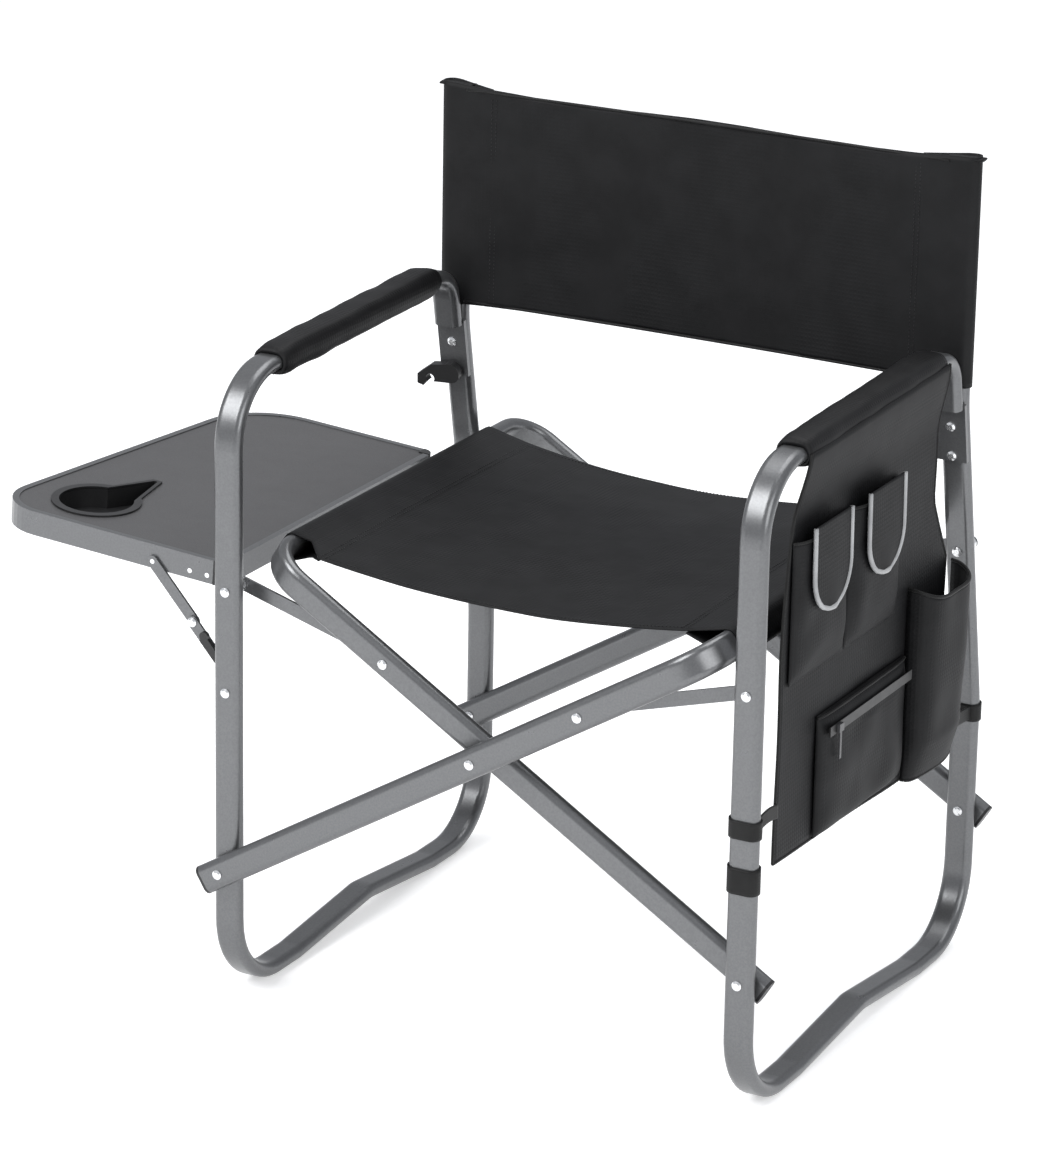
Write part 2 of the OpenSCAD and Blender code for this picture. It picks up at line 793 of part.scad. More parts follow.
module catch_hook() {
    color(BLACK) translate([-half_width, 0, 0]) arm_rivet_place(arm_rivet_heights[1])
        translate([0, -tab_face - face_gap - head_h - 0.4, 0]) rotate([90, 0, 0])
        linear_extrude(9) difference() {
            union() {
                circle(r = 11);
                polygon([[2, 11], [-22, 7], [-39, -6], [-40, -17], [-33, -19], [-28, -13], [2, -11]]);
            }
            translate([-24, -9]) circle(r = 5);
        }
}

// ---------- organizer ----------

// Puts a shape drawn in (y, z) on the plane x = out, thick towards +X
module on_side(out, thick) {
    translate([out, 0, 0]) rotate([90, 0, 90]) linear_extrude(thick) children();
}

module organizer_panel() {
    color(CLOTH) on_side(panel_in, panel_thick)
        polygon([[panel_front, panel_top], [panel_rear, panel_top + 4],
                 [panel_rear + 6, 500], [bottle_rear - 10, bottle_top - 4],
                 [bottle_rear - 22, panel_low - 4], [panel_front + 2, panel_low + 10]]);
}

// Open-topped pocket drawn in (y, z), closed towards the panel
module pocket(y, z, wide, tall, deep) {
    difference() {
        on_side(pocket_x, deep) translate([y, z]) square([wide, tall]);
        on_side(pocket_x + pocket_wall, deep - 2 * pocket_wall) translate([y + pocket_wall, z + pocket_wall])
            square([wide - 2 * pocket_wall, tall]);
    }
}

module upper_pockets() {
    color(CLOTH) for (i = [0, 1])
        pocket(upper_front_y + i * (upper_wide + 2), upper_low, upper_wide, upper_high - upper_low, pocket_deep);
}

module flap(i) {
    middle = upper_front_y + i * (upper_wide + 2) + upper_wide / 2;
    color(CLOTH) on_side(flap_x, fabric) translate([middle, upper_high + 12]) {
        translate([-flap_wide / 2, flap_wide / 2 - flap_drop]) square([flap_wide, flap_drop - flap_wide / 2]);
        translate([0, flap_wide / 2 - flap_drop]) circle(r = flap_wide / 2);
    }
}

module front_flap() {
    flap(0);
}

module rear_flap() {
    flap(1);
}

module zip_pocket() {
    color(CLOTH) on_side(pocket_x, zip_deep) translate([zip_front, zip_low])
        square([zip_rear - zip_front, zip_high - zip_low]);
}

zip_z = zip_high - 16;

// Zip tape and teeth across the zip pocket
module zip_tape() {
    color(BLACK) on_side(pocket_x + zip_deep + 0.1, 1.2) translate([zip_front + 6, zip_z - 5])
        square([zip_rear - zip_front - 12, 10]);
}

module zip_slider() {
    color(STEEL) {
        translate([pocket_x + zip_deep + 1.6, zip_front + 20, zip_z - 4]) cube([3, 10, 8]);
        translate([pocket_x + zip_deep + 2.2, zip_front + 23, zip_z - 32]) cube([1.6, 4, 28]);
    }
}

// Deep pocket for a bottle at the organizer's rear
module bottle_pocket() {
    color(CLOTH) pocket(bottle_front, panel_low - 2, bottle_rear - bottle_front, bottle_top - panel_low + 2,
                        bottle_deep);
}

// Webbing loop round a leg: upright leg at y, z is the loop's lower edge
module leg_loop(y, z, tall, thick, gap = soft_gap) {
    translate([half_width, y, z]) linear_extrude(tall) rotate(90) difference() {
        oval(tube_wide + 2 * gap + 2 * thick, tube_thin + 2 * gap + 2 * thick);
        oval(tube_wide + 2 * gap, tube_thin + 2 * gap);
    }
}

// Tie at the organizer's lower front corner, round the front leg
module front_strap() {
    color(BLACK) {
        leg_loop(0, 292, 18, 1.2);
        translate([pocket_x - 0.2, thin_half + soft_gap + 0.2, 293]) cube([1.6, panel_front + 5 - thin_half, 14]);
    }
}

// Tie at the organizer's rear, round the rear leg
module rear_strap() {
    color(BLACK) {
        leg_loop(base_depth, strap_low, 18, 1.2, soft_gap + 0.6);
        translate([pocket_x - 0.2, bottle_rear + 0.3, strap_low + 1])
            cube([1.6, base_depth - thin_half - soft_gap - bottle_rear - 1.3, 14]);
    }
}

module leg_band() {
    color(BLACK) leg_loop(0, 236, 26, 2);
}

// ---------- slings ----------

// Points of a sagging strip from -half to half, thick down
function strip(half, top, sag, thick) = concat(
    [for (i = [-8 : 8]) [half * i / 8, top - sag * (1 - pow(i / 8, 2))]],
    [for (i = [8 : -1 : -8]) [half * i / 8, top - thick - sag * (1 - pow(i / 8, 2))]]);

// The left sleeve starts behind the bend of the rail that it slides on
module seat_sling() {
    color(CLOTH) difference() {
        seat_body();
        translate([-rail_x - 30, seat_front - 1, rail_z - 40])
            cube([56, bar_off + rail_bend + 1 - seat_front + 1, 80]);
    }
}

module seat_body() {
    translate([0, seat_front + seat_long, 0]) rotate([90, 0, 0]) linear_extrude(seat_long)
        difference() {
            union() {
                for (s = [-1, 1]) translate([s * rail_x, rail_z]) rotate(s * bar_angle)
                    oval(tube_wide + 2 * (soft_gap + fabric), tube_thin + 2 * (soft_gap + fabric));
                polygon(strip(rail_x, rail_z + 12, seat_sag, fabric + 1));
            }
            for (s = [-1, 1]) translate([s * rail_x, rail_z]) rotate(s * bar_angle)
                oval(tube_wide + 2 * soft_gap, tube_thin + 2 * soft_gap);
        }
}

module backrest_sling() {
    low = post_height + back_over - back_high;
    color(CLOTH) translate([0, post_y, low]) difference() {
        linear_extrude(back_high) union() {
            for (s = [-1, 1]) translate([s * half_width, 0]) rotate(90)
                oval(tube_wide + 2 * (soft_gap + fabric), tube_thin + 2 * (soft_gap + fabric));
            mirror([0, 1]) polygon(strip(half_width, 1, 8, fabric));
        }
        translate([0, 0, -1]) linear_extrude(back_high - back_over + 1 + 2 + soft_gap)
            for (s = [-1, 1]) translate([s * half_width, 0]) rotate(90)
                oval(tube_wide + 2 * soft_gap, tube_thin + 2 * soft_gap);
    }
}

place() left_side_tube();
place() left_post_cap();
place() left_arm_pad();
place() left_frame_rivets();
place() left_frame_spacers();
place() right_side_tube();
place() right_post_cap();
place() right_arm_sleeve();
place() right_frame_rivets();
place() right_frame_spacers();
place() organizer_panel();
place() upper_pockets();
place() zip_pocket();
place() zip_tape();
place() bottle_pocket();
place() front_strap();
place() rear_strap();
place() leg_band();
place() cross_frame_a();
place() cross_a_end_caps();
place() cross_pivot_rivets();
place() cross_pivot_spacers();
place() cross_a_link_rivets();
place() cross_frame_b();
place() cross_b_end_caps();
place() cross_b_link_rivets();
place() left_link_front();
place() left_link_rear();
place() right_link_front();
place() right_link_rear();
place() table_rim();
place() table_board();
place() table_corner_caps();
place() cup_holder();
place() table_hinge_plates();
place() table_rivets();
place() upper_strut_front();
place() upper_strut_rear();
place() lower_strut_front();
place() lower_strut_rear();
place() strut_rivets();
place() lock_lever();
place() catch_hook();
place() front_flap();
place() rear_flap();
place() zip_slider();
place() seat_sling();
place() backrest_sling();
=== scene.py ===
"""Looks of the folding camp chair: fabric, padding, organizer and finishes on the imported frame."""
import math

import bpy
from mathutils import Matrix, Vector, noise


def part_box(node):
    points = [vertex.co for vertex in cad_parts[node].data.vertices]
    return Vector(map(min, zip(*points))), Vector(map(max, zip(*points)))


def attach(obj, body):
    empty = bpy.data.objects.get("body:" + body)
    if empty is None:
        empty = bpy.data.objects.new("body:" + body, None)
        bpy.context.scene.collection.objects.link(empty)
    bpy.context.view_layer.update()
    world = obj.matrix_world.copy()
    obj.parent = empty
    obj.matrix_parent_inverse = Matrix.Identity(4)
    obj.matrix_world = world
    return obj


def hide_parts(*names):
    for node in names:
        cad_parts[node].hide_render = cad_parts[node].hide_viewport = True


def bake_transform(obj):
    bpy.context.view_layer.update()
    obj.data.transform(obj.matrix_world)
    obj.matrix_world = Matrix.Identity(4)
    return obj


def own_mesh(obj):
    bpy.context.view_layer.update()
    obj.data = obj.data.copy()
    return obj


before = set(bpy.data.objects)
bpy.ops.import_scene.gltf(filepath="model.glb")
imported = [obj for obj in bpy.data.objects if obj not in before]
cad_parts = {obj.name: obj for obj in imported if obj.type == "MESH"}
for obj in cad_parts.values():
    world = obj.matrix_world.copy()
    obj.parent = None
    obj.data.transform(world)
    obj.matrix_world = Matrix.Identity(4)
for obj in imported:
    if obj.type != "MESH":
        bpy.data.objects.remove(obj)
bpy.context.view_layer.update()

MM = 0.001

# ---------- places, worked out from the frame ----------
LEFT_LO, LEFT_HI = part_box("left_side_tube")
RIGHT_LO, RIGHT_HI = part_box("right_side_tube")
BACK_LO, BACK_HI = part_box("backrest_sling")
SEAT_LO, SEAT_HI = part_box("seat_sling")
PINS_LO, PINS_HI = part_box("cross_pivot_spacers")
LINK_LO, LINK_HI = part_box("cross_a_link_rivets")

TUBE_WIDE = 30 * MM
TUBE_THIN = 15 * MM
CLOTH_GAP = 1.2 * MM
FABRIC_THICK = 1.6 * MM
STITCH_STEP = 4 * MM
ROUND_STEPS = 150
# From the lowest corner of an arm's padding up to the middle of the arm, and half a seat sleeve's width
PAD_FOOT = 13.5 * MM
SLEEVE_HALF = 13.75 * MM
LEFT_X = (LEFT_LO[0] + LEFT_HI[0]) / 2
RIGHT_X = (RIGHT_LO[0] + RIGHT_HI[0]) / 2
MID_X = (LEFT_X + RIGHT_X) / 2
HALF = (RIGHT_X - LEFT_X) / 2
FRONT_Y = LEFT_LO[1] + TUBE_THIN / 2
POST_Y = (BACK_LO[1] + BACK_HI[1]) / 2 + 0.5 * MM
PIVOT_Z = (PINS_LO[2] + PINS_HI[2]) / 2
LINK_Z = (LINK_LO[2] + LINK_HI[2]) / 2
LINK_X = (LINK_LO[0] + LINK_HI[0]) / 2 - MID_X
BAR_ANGLE = math.atan2(LINK_Z - PIVOT_Z, LINK_X)
RAIL_X = (SEAT_HI[0] - SEAT_LO[0]) / 2 - SLEEVE_HALF
RAIL_Z = PIVOT_Z + RAIL_X * math.tan(BAR_ANGLE)


def at(x, y, z):
    """A point from millimetres in the chair's own frame: x from the middle, y from the front leg."""
    return Vector((MID_X + x * MM, FRONT_Y + y * MM, z * MM))


# ---------- materials ----------
def new_material(name, color, rough, metallic=0.0):
    m = bpy.data.materials.new(name)
    m.use_nodes = True
    b = m.node_tree.nodes["Principled BSDF"]
    b.inputs["Base Color"].default_value = (*color, 1)
    b.inputs["Roughness"].default_value = rough
    b.inputs["Metallic"].default_value = metallic
    return m, m.node_tree, b


def add(tree, kind, **values):
    n = tree.nodes.new(kind)
    for key, value in values.items():
        if hasattr(n, key):
            setattr(n, key, value)
        else:
            n.inputs[key].default_value = value
    return n


def object_coords(tree, scale=(1, 1, 1)):
    coords = tree.nodes.new("ShaderNodeTexCoord")
    mapping = tree.nodes.new("ShaderNodeMapping")
    mapping.inputs["Scale"].default_value = scale
    tree.links.new(coords.outputs["Object"], mapping.inputs["Vector"])
    return mapping.outputs["Vector"]


def color_noise(tree, shader, vector, dark, light, scale, detail=4.0, low=0.35, high=0.65):
    """Base colour that wanders between two tones."""
    n = add(tree, "ShaderNodeTexNoise", Scale=scale, Detail=detail)
    r = tree.nodes.new("ShaderNodeValToRGB")
    r.color_ramp.elements[0].position = low
    r.color_ramp.elements[1].position = high
    r.color_ramp.elements[0].color = (*dark, 1)
    r.color_ramp.elements[1].color = (*light, 1)
    tree.links.new(vector, n.inputs["Vector"])
    tree.links.new(n.outputs["Fac"], r.inputs["Fac"])
    tree.links.new(r.outputs["Color"], shader.inputs["Base Color"])
    return n


def bump_from(tree, shader, height, strength, distance):
    b = add(tree, "ShaderNodeBump", Strength=strength, Distance=distance)
    tree.links.new(height, b.inputs["Height"])
    tree.links.new(b.outputs["Normal"], shader.inputs["Normal"])
    return b


def rough_noise(tree, shader, vector, scale, low, high):
    n = add(tree, "ShaderNodeTexNoise", Scale=scale, Detail=3.0)
    r = add(tree, "ShaderNodeMapRange")
    r.inputs["To Min"].default_value = low
    r.inputs["To Max"].default_value = high
    tree.links.new(vector, n.inputs["Vector"])
    tree.links.new(n.outputs["Fac"], r.inputs["Value"])
    tree.links.new(r.outputs["Result"], shader.inputs["Roughness"])


def tube_material():
    """Satin powder-coated aluminium tube: fine fleck and slightly uneven gloss."""
    m, t, b = new_material("satin_tube", (0.15, 0.153, 0.157), 0.3, 0.72)
    v = object_coords(t)
    color_noise(t, b, v, (0.142, 0.145, 0.149), (0.162, 0.165, 0.169), 500, 2)
    rough_noise(t, b, v, 60, 0.24, 0.36)
    n = add(t, "ShaderNodeTexNoise", Scale=1400, Detail=1.0)
    t.links.new(v, n.inputs["Vector"])
    bump_from(t, b, n.outputs["Fac"], 0.03, 0.0003)
    return m


def steel_material():
    m, t, b = new_material("rivet_steel", (0.78, 0.79, 0.8), 0.22, 0.9)
    v = object_coords(t)
    rough_noise(t, b, v, 300, 0.15, 0.32)
    color_noise(t, b, v, (0.7, 0.71, 0.72), (0.84, 0.85, 0.86), 200, 3)
    return m


def board_material():
    """Dark grey table board with a fine pebbled grain."""
    m, t, b = new_material("table_board", (0.06, 0.06, 0.062), 0.42)
    v = object_coords(t)
    color_noise(t, b, v, (0.042, 0.042, 0.044), (0.078, 0.077, 0.078), 1100, 3, 0.3, 0.7)
    rough_noise(t, b, v, 25, 0.36, 0.5)
    n = add(t, "ShaderNodeTexNoise", Scale=1500, Detail=2.0)
    t.links.new(v, n.inputs["Vector"])
    bump_from(t, b, n.outputs["Fac"], 0.2, 0.0004)
    return m


def plastic_material(name, tone, rough):
    m, t, b = new_material(name, (tone, tone, tone * 1.05), rough)
    v = object_coords(t)
    rough_noise(t, b, v, 80, rough - 0.06, rough + 0.1)
    n = add(t, "ShaderNodeTexNoise", Scale=900, Detail=2.0)
    t.links.new(v, n.inputs["Vector"])
    bump_from(t, b, n.outputs["Fac"], 0.12, 0.0004)
    return m


def woven_material(name, dark, light, rough, thread=900, sheen=0.25):
    """Plain weave: two crossed sets of threads raise the surface, over a slow change of tone."""
    m, t, b = new_material(name, dark, rough)
    v = object_coords(t)
    color_noise(t, b, v, dark, light, 28, 5)
    threads = []
    for axis in ("X", "Y", "Z"):
        w = add(t, "ShaderNodeTexWave", wave_type="BANDS", bands_direction=axis, Scale=thread / 6.2832 * 0.5)
        w.inputs["Distortion"].default_value = 0.6
        w.inputs["Detail"].default_value = 1.0
        t.links.new(v, w.inputs["Vector"])
        threads.append(w)
    first = add(t, "ShaderNodeMath", operation="MAXIMUM")
    second = add(t, "ShaderNodeMath", operation="MAXIMUM")
    t.links.new(threads[0].outputs["Fac"], first.inputs[0])
    t.links.new(threads[1].outputs["Fac"], first.inputs[1])
    t.links.new(first.outputs[0], second.inputs[0])
    t.links.new(threads[2].outputs["Fac"], second.inputs[1])
    fine = bump_from(t, b, second.outputs[0], 0.35, 0.0005)
    wrinkle = add(t, "ShaderNodeTexNoise", Scale=14.0, Detail=4.0)
    t.links.new(v, wrinkle.inputs["Vector"])
    soft = add(t, "ShaderNodeBump", Strength=0.25, Distance=0.004)
    t.links.new(wrinkle.outputs["Fac"], soft.inputs["Height"])
    t.links.new(soft.outputs["Normal"], fine.inputs["Normal"])
    b.inputs["Sheen Weight"].default_value = sheen
    b.inputs["Specular IOR Level"].default_value = 0.22
    b.inputs["Sheen Roughness"].default_value = 0.5
    return m


TUBE = tube_material()
STEEL = steel_material()
BOARD = board_material()
PLASTIC = plastic_material("black_plastic", 0.012, 0.38)
FABRIC = woven_material("black_polyester", (0.0042, 0.0043, 0.0048), (0.0072, 0.0073, 0.008), 0.6, sheen=0.0)
PAD_CLOTH = woven_material("pad_polyester", (0.004, 0.004, 0.0045), (0.0068, 0.0068, 0.0074), 0.56, sheen=0.0)
WEBBING = woven_material("black_webbing", (0.006, 0.006, 0.006), (0.011, 0.011, 0.011), 0.55, 1400, 0.03)
STITCH = woven_material("stitch_thread", (0.012, 0.012, 0.013), (0.02, 0.02, 0.021), 0.55, 2400, 0.05)
BINDING = woven_material("grey_binding", (0.3, 0.305, 0.31), (0.42, 0.425, 0.43), 0.45, 1800, 0.05)
ZIPPER = plastic_material("zip_teeth", 0.011, 0.4)
SLIDER = plastic_material("zip_slider_metal", 0.05, 0.3)


# ---------- mesh helpers ----------
def mesh_piece(name, points, faces, material, smooth=True):
    mesh = bpy.data.meshes.new(name)
    mesh.from_pydata([tuple(p) for p in points], [], faces)
    mesh.update()
    for p in mesh.polygons:
        p.use_smooth = smooth
    obj = bpy.data.objects.new(name, mesh)
    bpy.context.collection.objects.link(obj)
    obj.data.materials.append(material)
    return obj


def thick_sheet(name, surface, nu, nv, thick, material):
    """Closed sheet: surface(u, v) is its middle, and it is thick across, with its rim closed."""
    grid = [[surface(i / nu, j / nv) for j in range(nv + 1)] for i in range(nu + 1)]
    top, low = [], []
    for i in range(nu + 1):
        for j in range(nv + 1):
            a = grid[min(i + 1, nu)][j] - grid[max(i - 1, 0)][j]
            b = grid[i][min(j + 1, nv)] - grid[i][max(j - 1, 0)]
            n = a.cross(b).normalized() * thick / 2
            top.append(grid[i][j] + n)
            low.append(grid[i][j] - n)
    count = len(top)
    row = nv + 1
    faces = []
    for i in range(nu):
        for j in range(nv):
            a = i * row + j
            faces.append((a, a + row, a + row + 1, a + 1))
            faces.append((count + a, count + a + 1, count + a + row + 1, count + a + row))
    for i in range(nu):
        for j, flip in ((0, False), (nv, True)):
            a, b = i * row + j, (i + 1) * row + j
            quad = (a, count + a, count + b, b)
            faces.append(quad[::-1] if flip else quad)
    for j in range(nv):
        for i, flip in ((0, True), (nu, False)):
            a, b = i * row + j, i * row + j + 1
            quad = (a, count + a, count + b, b)
            faces.append(quad[::-1] if flip else quad)
    return mesh_piece(name, top + low, faces, material)


def spread(points, count):
    """count + 1 points, evenly spaced along a polyline."""
    lengths = [0.0]
    for a, b in zip(points, points[1:]):
        lengths.append(lengths[-1] + (b - a).length)
    out, k = [], 0
    for i in range(count + 1):
        want = lengths[-1] * i / count
        while k < len(points) - 2 and lengths[k + 1] < want:
            k += 1
        span = max(lengths[k + 1] - lengths[k], 1e-9)
        out.append(points[k].lerp(points[k + 1], min(max((want - lengths[k]) / span, 0), 1)))
    return out


def cord_along(name, points, radius, material, flat=1.0, sides=8):
    """Thin round or flattened bead along points, closed at both ends."""
    verts, faces = [], []
    for i, p in enumerate(points):
        along = (points[min(i + 1, len(points) - 1)] - points[max(i - 1, 0)]).normalized()
        side = along.cross(Vector((1, 0, 0)))
        if side.length < 0.2:
            side = along.cross(Vector((0, 0, 1)))
        side.normalize()
        up = side.cross(along)
        for k in range(sides):
            a = 2 * math.pi * k / sides
            verts.append(p + side * radius * math.cos(a) + up * radius * flat * math.sin(a))
    for i in range(len(points) - 1):
        for k in range(sides):
            a, b = i * sides + k, i * sides + (k + 1) % sides
            faces.append((a, b, b + sides, a + sides))
    faces.append(tuple(range(sides))[::-1])
    faces.append(tuple(range(len(verts) - sides, len(verts))))
    return mesh_piece(name, verts, faces, material)


def stitches(name, points, step, material, lift=0.0004):
    """A row of short raised threads along points."""
    total = sum((b - a).length for a, b in zip(points, points[1:]))
    count = max(int(total / step), 2)
    ring = spread(points, count * 2)
    verts, faces = [], []
    for i in range(0, len(ring) - 1, 2):
        a, b = ring[i], ring[i + 1].lerp(ring[i], 0.2)
        along = (b - a).normalized()
        side = along.cross(Vector((0.3, -0.8, 0.5))).normalized() * lift
        up = side.cross(along).normalized() * lift
        base = len(verts)
        for p in (a, b):
            verts += [p + side, p + up, p - side, p - up]
        for k in range(4):
            faces.append((base + k, base + (k + 1) % 4, base + 4 + (k + 1) % 4, base + 4 + k))
        faces += [(base + 3, base + 2, base + 1, base), (base + 4, base + 5, base + 6, base + 7)]
    return mesh_piece(name, verts, faces, material)


def ripple(p, size, scale):
    """Small soft wander, the same on each run."""
    return size * noise.noise(p * scale)


# ---------- camera, light and floor ----------
def make_camera():
    cam = bpy.data.cameras.new("camera")
    obj = bpy.data.objects.new("camera", cam)
    bpy.context.collection.objects.link(obj)
    az, el, roll = math.radians(27.985), math.radians(19.325), math.radians(1.012)
    forward = Vector((-math.sin(az) * math.cos(el), math.cos(az) * math.cos(el), -math.sin(el)))
    right = Vector((math.cos(az), math.sin(az), 0))
    up = right.cross(forward)
    x_axis = right * math.cos(roll) + up * math.sin(roll)
    y_axis = up * math.cos(roll) - right * math.sin(roll)
    place = at(2211.25, -4083.38, 2117.63)
    turn = Matrix((x_axis, y_axis, -forward)).transposed().to_4x4()
    obj.matrix_world = Matrix.Translation(place) @ turn
    cam.sensor_fit = "VERTICAL"
    cam.sensor_height = 36
    cam.lens = 157.993
    cam.clip_end = 60
    bpy.context.scene.camera = obj


def area_light(name, place, target, size, power):
    light = bpy.data.lights.new(name, "AREA")
    light.size = size
    light.energy = power
    obj = bpy.data.objects.new(name, light)
    bpy.context.collection.objects.link(obj)
    obj.location = place
    obj.rotation_euler = (Vector(target) - Vector(place)).to_track_quat("-Z", "Y").to_euler()
    return obj


def white_world():
    world = bpy.data.worlds.new("studio")
    bpy.context.scene.world = world
    world.use_nodes = True
    t = world.node_tree
    t.nodes.clear()
    out = t.nodes.new("ShaderNodeOutputWorld")
    mix = t.nodes.new("ShaderNodeMixShader")
    path = t.nodes.new("ShaderNodeLightPath")
    seen = add(t, "ShaderNodeBackground", Color=(1, 1, 1, 1), Strength=1.0)
    lit = add(t, "ShaderNodeBackground", Color=(0.93, 0.95, 1, 1), Strength=0.55)
    t.links.new(path.outputs["Is Camera Ray"], mix.inputs["Fac"])
    t.links.new(lit.outputs[0], mix.inputs[1])
    t.links.new(seen.outputs[0], mix.inputs[2])
    t.links.new(mix.outputs[0], out.inputs["Surface"])


def pale_floor():
    m, t, b = new_material("pale_floor", (0.9, 0.9, 0.9), 0.9)
    n = add(t, "ShaderNodeTexNoise", Scale=3.0)
    bump_from(t, b, n.outputs["Fac"], 0.02, 0.001)
    b.inputs["Emission Color"].default_value = (1, 1, 1, 1)
    b.inputs["Emission Strength"].default_value = 0.42
    size = 14
    obj = mesh_piece("floor", [(-size, -size, -0.0005), (size, -size, -0.0005), (size, size, -0.0005),
                               (-size, size, -0.0005)], [(0, 1, 2, 3)], m, False)


make_camera()
white_world()
pale_floor()
area_light("key", (-1.6, -2.6, 3.2), (0, 0, 0.4), 2.2, 120)
area_light("fill", (3.4, -2.2, 2.2), (0, 0, 0.4), 2.4, 60)
area_light("top", (0.2, 1.0, 3.6), (0, 0, 0.4), 2.6, 60)
bpy.context.scene.view_settings.view_transform = "Standard"


# ---------- finishes on the CAD nodes ----------
METAL = ["left_side_tube", "right_side_tube", "cross_frame_a", "cross_frame_b", "left_link_front",
         "left_link_rear", "right_link_front", "right_link_rear", "table_rim", "table_hinge_plates",
         "upper_strut_front", "upper_strut_rear", "lower_strut_front", "lower_strut_rear"]
for node_name, node_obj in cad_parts.items():
    if node_name in METAL:
        look = TUBE
    elif "rivets" in node_name or "spacers" in node_name:
        look = STEEL
    elif node_name == "zip_slider":
        look = SLIDER
    elif node_name == "table_board":
        look = BOARD
    elif node_name == "zip_tape":
        look = ZIPPER
    else:
        look = PLASTIC
    for i in range(max(len(node_obj.material_slots), 1)):
        if node_obj.material_slots:
            node_obj.material_slots[i].material = look
        else:
            node_obj.data.materials.append(look)


# ---------- slings ----------
def wrapped(center, wide_dir, grow, start, end, count):
    """Points round an oval tube, from the angle start to the angle end, in the plane of wide_dir."""
    r = TUBE_THIN / 2 + grow
    half = (TUBE_WIDE - TUBE_THIN) / 2
    out = []
    for i in range(count + 1):
        a = start + (end - start) * i / count
        d = (math.cos(a), math.sin(a))
        side = d[0] * wide_dir[0] + d[1] * wide_dir[1]
        shift = half if side > 0 else -half
        out.append((center[0] + wide_dir[0] * shift + r * d[0], center[1] + wide_dir[1] * shift + r * d[1]))
    return out


SEAT_SAG = 24 * MM
SLEEVE = 50 * MM
# The left rail bends down into its bars further back than the right one
LEFT_SLEEVE_BACK = 29.5 * MM


def seat_profile():
    """Cross-section (x, z) of the seat: from the left sleeve's seam, round both rails, to the right seam."""
    n = (-math.sin(BAR_ANGLE), math.cos(BAR_ANGLE))
    top = RAIL_Z + 14.5 * MM
    turn = wrapped((RAIL_X, RAIL_Z), n, CLOTH_GAP, math.radians(97), math.radians(-105), 26)
    seam_x = RAIL_X - SLEEVE

    def web(x):
        return top - SEAT_SAG * (1 - (x / RAIL_X) ** 2)

    right = [(seam_x * i / 12, web(seam_x * i / 12)) for i in range(1, 13)] + turn
    right += [(seam_x + (turn[-1][0] - seam_x) * k, web(seam_x) - 2.2 * MM
               + (turn[-1][1] - web(seam_x) + 2.2 * MM) * k) for k in (0.66, 0.33, 0.02)]
    points = [(-x, z) for x, z in reversed(right)] + [(0, web(0))] + right
    return [Vector((MID_X + x, 0, z)) for x, z in points], web, seam_x


def seat():
    profile, web, seam_x = seat_profile()
    ring = spread(profile, ROUND_STEPS)
    y0, y1 = SEAT_LO[1], SEAT_HI[1]

    def surface(u, v):
        p = ring[round(u * ROUND_STEPS)].copy()
        across = (p.x - MID_X) / RAIL_X
        begin = y0 + (LEFT_SLEEVE_BACK if across < 0 else 0) * min(1, max(0, (abs(across) - 0.8) / 0.1))
        p.y = begin + (y1 - begin) * v
        middle = max(0.0, 1 - across * across)
        p.z += -2.5 * MM * middle * math.cos(2 * math.pi * v) + ripple(p, 1.0 * MM, 14) * middle
        edge = min(v, 1 - v)
        p.y += (6 * MM * middle) * (1 if v < 0.5 else -1) * max(0, 1 - edge * 12)
        return p

    obj = thick_sheet("seat_fabric", surface, ROUND_STEPS, 60, FABRIC_THICK, FABRIC)
    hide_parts("seat_sling")
    trims = []
    for side in (-1, 1):
        for k in (0, 1):
            x = side * (seam_x - k * 5 * MM)
            line = [Vector((MID_X + x, y0 + 6 * MM + (y1 - y0 - 12 * MM) * i / 30, web(x) + 1.1 * MM
                            - 2.5 * MM * (1 - (x / RAIL_X) ** 2) * math.cos(2 * math.pi * i / 30)))
                    for i in range(31)]
            trims.append(stitches(f"seat_stitch_{'l' if side < 0 else 'r'}{k}", line, STITCH_STEP, STITCH))
    for name, y in (("front", y0 + 9 * MM), ("rear", y1 - 9 * MM)):
        line = [Vector((MID_X + x * MM, y, web(x * MM) + 1.0 * MM - 2.0 * MM * (1 - (x * MM / RAIL_X) ** 2)))
                for x in range(-196, 197, 14)]
        trims.append(stitches(f"seat_hem_{name}", line, STITCH_STEP, STITCH))
    for piece in [obj] + trims:
        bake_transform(piece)


def back_profile():
    """Cross-section (x, y) of the back: out of the left seam behind, round both posts, to the right seam."""
    turn = wrapped((HALF, POST_Y), (1, 0), CLOTH_GAP, math.radians(-90), math.radians(90), 18)
    front = turn[0][1]
    seam = HALF - 44 * MM
    bow = 6 * MM
    right = [(seam * i / 10, front + bow * (1 - (i / 10) ** 2)) for i in range(1, 11)] + turn
    right += [(seam + (turn[-1][0] - seam) * k, front + 2.4 * MM + (turn[-1][1] - front - 2.4 * MM) * k)
              for k in (0.7, 0.35, 0.02)]
    points = [(-x, y) for x, y in reversed(right)] + [(0, front + bow)] + right
    return [Vector((MID_X + x, y, 0)) for x, y in points], front, seam, bow


